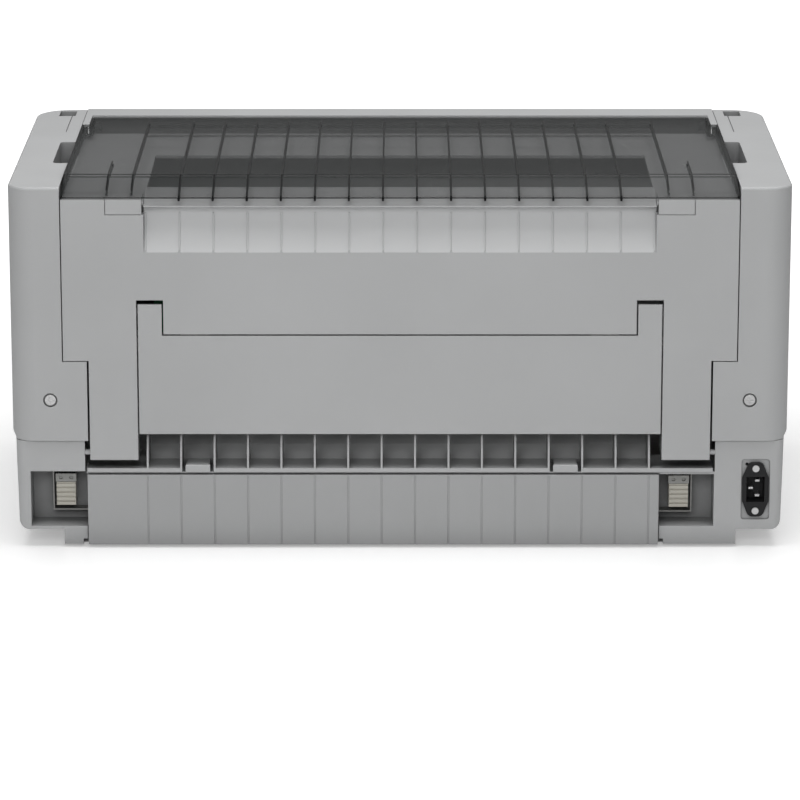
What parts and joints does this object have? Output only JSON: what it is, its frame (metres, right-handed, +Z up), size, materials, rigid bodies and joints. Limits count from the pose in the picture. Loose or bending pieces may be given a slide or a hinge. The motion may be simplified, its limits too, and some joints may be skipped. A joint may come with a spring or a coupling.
{
  "type": "dot matrix printer",
  "caption": "Wide-carriage dot matrix printer with hinged smoked cover, tilting rear cover and flap, finned rear paper entry, print carriage and tractor feed.",
  "frame": {"origin": "centre of the footprint, on the table under the rubber feet", "axes": "+Z up, +Y towards the rear that the picture shows, -Y towards the operator, +X to the operator's right"},
  "size_m": [0.708, 0.378, 0.341],
  "materials": {
    "casing": "fine texture",
    "casing_dark": "fine texture",
    "smoke": "tinted, clear",
    "black": "matte",
    "latch": "satin",
    "steel": "plated",
    "zinc": "dull zinc",
    "rubber": "matte",
    "lens": "gloss",
    "lamp": "gloss",
    "key": "satin",
    "board": "gloss",
    "brass": "plain",
    "nylon": "satin"
  },
  "bodies": {
    "casing": {"button_board": "board", "carriage_belt": "rubber", "carriage_motor": "black", "chassis_base": "steel", "chassis_side_left": "steel", "chassis_side_right": "steel", "display_window": "lens", "fan_frame": "black", "feed_belt": "rubber", "feed_motor": "black", "front_fascia": "casing", "guide_clips": "casing", "guide_rods": "steel", "housing_screws": "steel", "inlet_body": "black", "inlet_pins": "steel", "inlet_screws": "steel", "latch_brackets": "zinc", "left_side_housing": "casing", "lower_case": "casing", "lower_rear_panel": "casing_dark", "main_board": "board", "panel_bezel": "black", "paper_guide": "casing", "platen_bar": "steel", "power_supply": "steel", "right_side_housing": "casing", "rubber_feet": "rubber", "status_lamps": "lamp", "switch_body": "black", "top_deck": "casing"},
    "smoked_cover": {"smoked_cover": "smoke"},
    "rear_cover": {"rear_cover": "casing"},
    "rear_flap": {"rear_flap": "casing"},
    "front_cover": {"front_cover": "casing"},
    "front_paper_door": {"front_paper_door": "casing"},
    "power_rocker": {"power_rocker": "black"},
    "right_latch": {"right_latch": "latch"},
    "left_latch": {"left_latch": "latch"},
    "carriage": {"carriage": "black", "print_head": "black", "ribbon_cartridge": "black"},
    "ribbon_knob": {"ribbon_knob": "nylon"},
    "drive_pulley": {"drive_pulley": "nylon"},
    "idler_pulley": {"idler_pulley": "nylon"},
    "feed_roller": {"feed_roller": "rubber", "feed_shaft": "steel", "feed_gear": "nylon"},
    "motor_pinion": {"motor_pinion": "brass"},
    "tractor_shaft": {"tractor_shaft": "steel"},
    "right_tractor": {"right_tractor": "nylon"},
    "left_tractor": {"left_tractor": "nylon"},
    "right_tractor_gate": {"right_tractor_gate": "nylon"},
    "left_tractor_gate": {"left_tractor_gate": "nylon"},
    "fan_rotor": {"fan_rotor": "black"},
    "panel_button_1": {"panel_button_1": "key"},
    "panel_button_2": {"panel_button_2": "key"},
    "panel_button_3": {"panel_button_3": "key"},
    "panel_button_4": {"panel_button_4": "key"},
    "panel_button_5": {"panel_button_5": "key"}
  },
  "joints": [
    {"name": "smoked_cover_lift", "type": "hinge", "parent": "casing", "child": "smoked_cover", "pos_m": [0, -0.141, 0.329], "axis": [1, 0, 0], "range_deg": [0, 80]},
    {"name": "rear_cover_tilt", "type": "hinge", "parent": "casing", "child": "rear_cover", "pos_m": [0, 0.183, 0.0895], "axis": [-1, 0, 0], "range_deg": [0, 75]},
    {"name": "rear_flap_tilt", "type": "hinge", "parent": "rear_cover", "child": "rear_flap", "pos_m": [0, 0.183, 0.221], "axis": [1, 0, 0], "range_deg": [0, 50]},
    {"name": "front_cover_tilt", "type": "hinge", "parent": "casing", "child": "front_cover", "pos_m": [0, -0.184, 0.195], "axis": [1, 0, 0], "range_deg": [0, 75]},
    {"name": "front_door_fold", "type": "hinge", "parent": "casing", "child": "front_paper_door", "pos_m": [0, -0.182, 0.03], "axis": [1, 0, 0], "range_deg": [0, 80]},
    {"name": "power_rocker_tip", "type": "hinge", "parent": "casing", "child": "power_rocker", "pos_m": [-0.3, -0.18, 0.06], "axis": [1, 0, 0], "range_deg": [0, 8]},
    {"name": "right_latch_pull", "type": "slide", "parent": "casing", "child": "right_latch", "axis": [0, 0, -1], "range_m": [0, 0.004], "stiffness_N_per_m": 150, "springref_m": -0.004},
    {"name": "left_latch_pull", "type": "slide", "parent": "casing", "child": "left_latch", "axis": [0, 0, -1], "range_m": [0, 0.004], "stiffness_N_per_m": 150, "springref_m": -0.004},
    {"name": "panel_button_1_press", "type": "slide", "parent": "casing", "child": "panel_button_1", "axis": [0, 1, 0], "range_m": [0, 0.0009], "stiffness_N_per_m": 300, "springref_m": -0.001},
    {"name": "panel_button_2_press", "type": "slide", "parent": "casing", "child": "panel_button_2", "axis": [0, 1, 0], "range_m": [0, 0.0009], "stiffness_N_per_m": 300, "springref_m": -0.001},
    {"name": "panel_button_3_press", "type": "slide", "parent": "casing", "child": "panel_button_3", "axis": [0, 1, 0], "range_m": [0, 0.0009], "stiffness_N_per_m": 300, "springref_m": -0.001},
    {"name": "panel_button_4_press", "type": "slide", "parent": "casing", "child": "panel_button_4", "axis": [0, 1, 0], "range_m": [0, 0.0009], "stiffness_N_per_m": 300, "springref_m": -0.001},
    {"name": "panel_button_5_press", "type": "slide", "parent": "casing", "child": "panel_button_5", "axis": [0, 1, 0], "range_m": [0, 0.0009], "stiffness_N_per_m": 300, "springref_m": -0.001},
    {"name": "carriage_travel", "type": "slide", "parent": "casing", "child": "carriage", "axis": [1, 0, 0], "range_m": [-0.19, 0.19]},
    {"name": "ribbon_knob_turn", "type": "hinge", "parent": "carriage", "child": "ribbon_knob", "pos_m": [0.0275, -0.0928, 0.25], "axis": [0, 0, 1], "continuous": true},
    {"name": "drive_pulley_turn", "type": "hinge", "parent": "casing", "child": "drive_pulley", "pos_m": [0.262, -0.079, 0.192], "axis": [0, 0, 1], "continuous": true},
    {"name": "idler_pulley_turn", "type": "hinge", "parent": "casing", "child": "idler_pulley", "pos_m": [-0.262, -0.079, 0.192], "axis": [0, 0, 1], "continuous": true},
    {"name": "feed_roller_turn", "type": "hinge", "parent": "casing", "child": "feed_roller", "pos_m": [0, 0.017, 0.226], "axis": [1, 0, 0], "continuous": true},
    {"name": "motor_pinion_turn", "type": "hinge", "parent": "casing", "child": "motor_pinion", "pos_m": [0.296, 0.017, 0.1807], "axis": [1, 0, 0], "continuous": true},
    {"name": "tractor_shaft_turn", "type": "hinge", "parent": "casing", "child": "tractor_shaft", "pos_m": [0, 0.105, 0.168], "axis": [1, 0, 0], "continuous": true},
    {"name": "right_tractor_shift", "type": "slide", "parent": "casing", "child": "right_tractor", "axis": [1, 0, 0], "range_m": [-0.1, 0.06]},
    {"name": "left_tractor_shift", "type": "slide", "parent": "casing", "child": "left_tractor", "axis": [1, 0, 0], "range_m": [-0.06, 0.1]},
    {"name": "right_gate_lift", "type": "hinge", "parent": "right_tractor", "child": "right_tractor_gate", "pos_m": [0.19, 0.076, 0.185], "axis": [1, 0, 0], "range_deg": [0, 100]},
    {"name": "left_gate_lift", "type": "hinge", "parent": "left_tractor", "child": "left_tractor_gate", "pos_m": [-0.19, 0.076, 0.185], "axis": [1, 0, 0], "range_deg": [0, 100]},
    {"name": "fan_spin", "type": "hinge", "parent": "casing", "child": "fan_rotor", "pos_m": [-0.19, 0.086, 0.055], "axis": [0, 1, 0], "continuous": true}
  ],
  "couplings": [
    {"joint": "drive_pulley_turn", "follows": "carriage_travel", "rad_per_m": -77.821},
    {"joint": "idler_pulley_turn", "follows": "carriage_travel", "rad_per_m": -77.821},
    {"joint": "motor_pinion_turn", "follows": "feed_roller_turn", "ratio": -2.75},
    {"joint": "tractor_shaft_turn", "follows": "feed_roller_turn", "ratio": 1}
  ]
}
